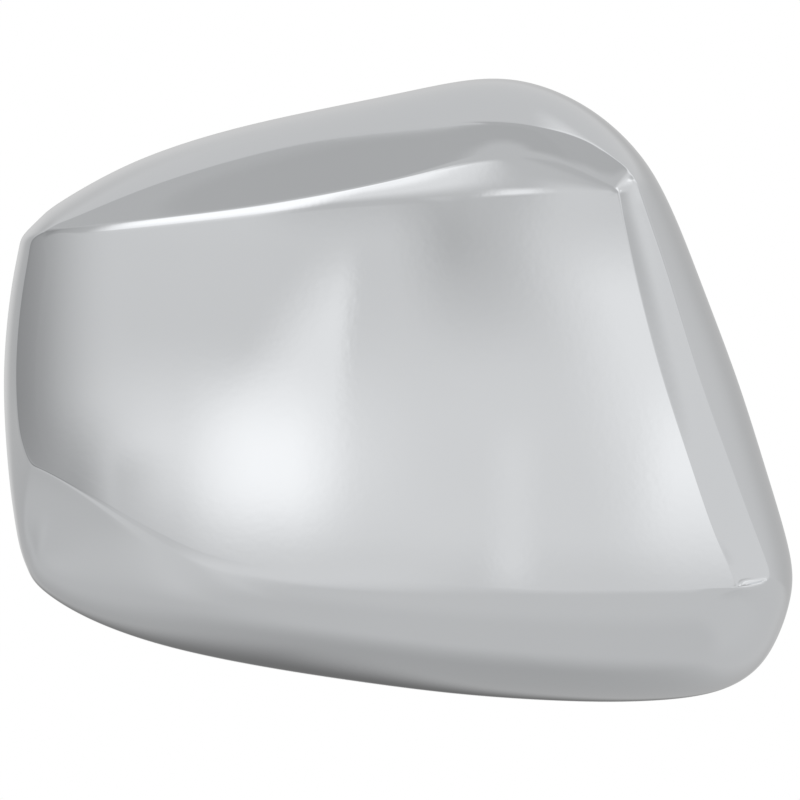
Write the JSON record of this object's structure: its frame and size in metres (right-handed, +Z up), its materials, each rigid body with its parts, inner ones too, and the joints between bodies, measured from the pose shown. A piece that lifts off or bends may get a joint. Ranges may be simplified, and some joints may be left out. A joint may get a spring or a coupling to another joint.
{
  "type": "wing mirror cover",
  "caption": "Chrome-plated wing mirror cover: a thin moulded shell with a crowned front panel, a shoulder over it and a cove beside it, open at the back.",
  "frame": {"origin": "middle of the opening at the back, in the plane of the rim", "axes": "+Z up as on the car, +X from the outboard end towards the door, +Y out of the opening, so the front faces -Y"},
  "size_m": [0.2451, 0.0899, 0.1939],
  "materials": {
    "chrome_plating": "polished"
  },
  "bodies": {
    "root": {"cover": "chrome_plating"}
  },
  "joints": []
}
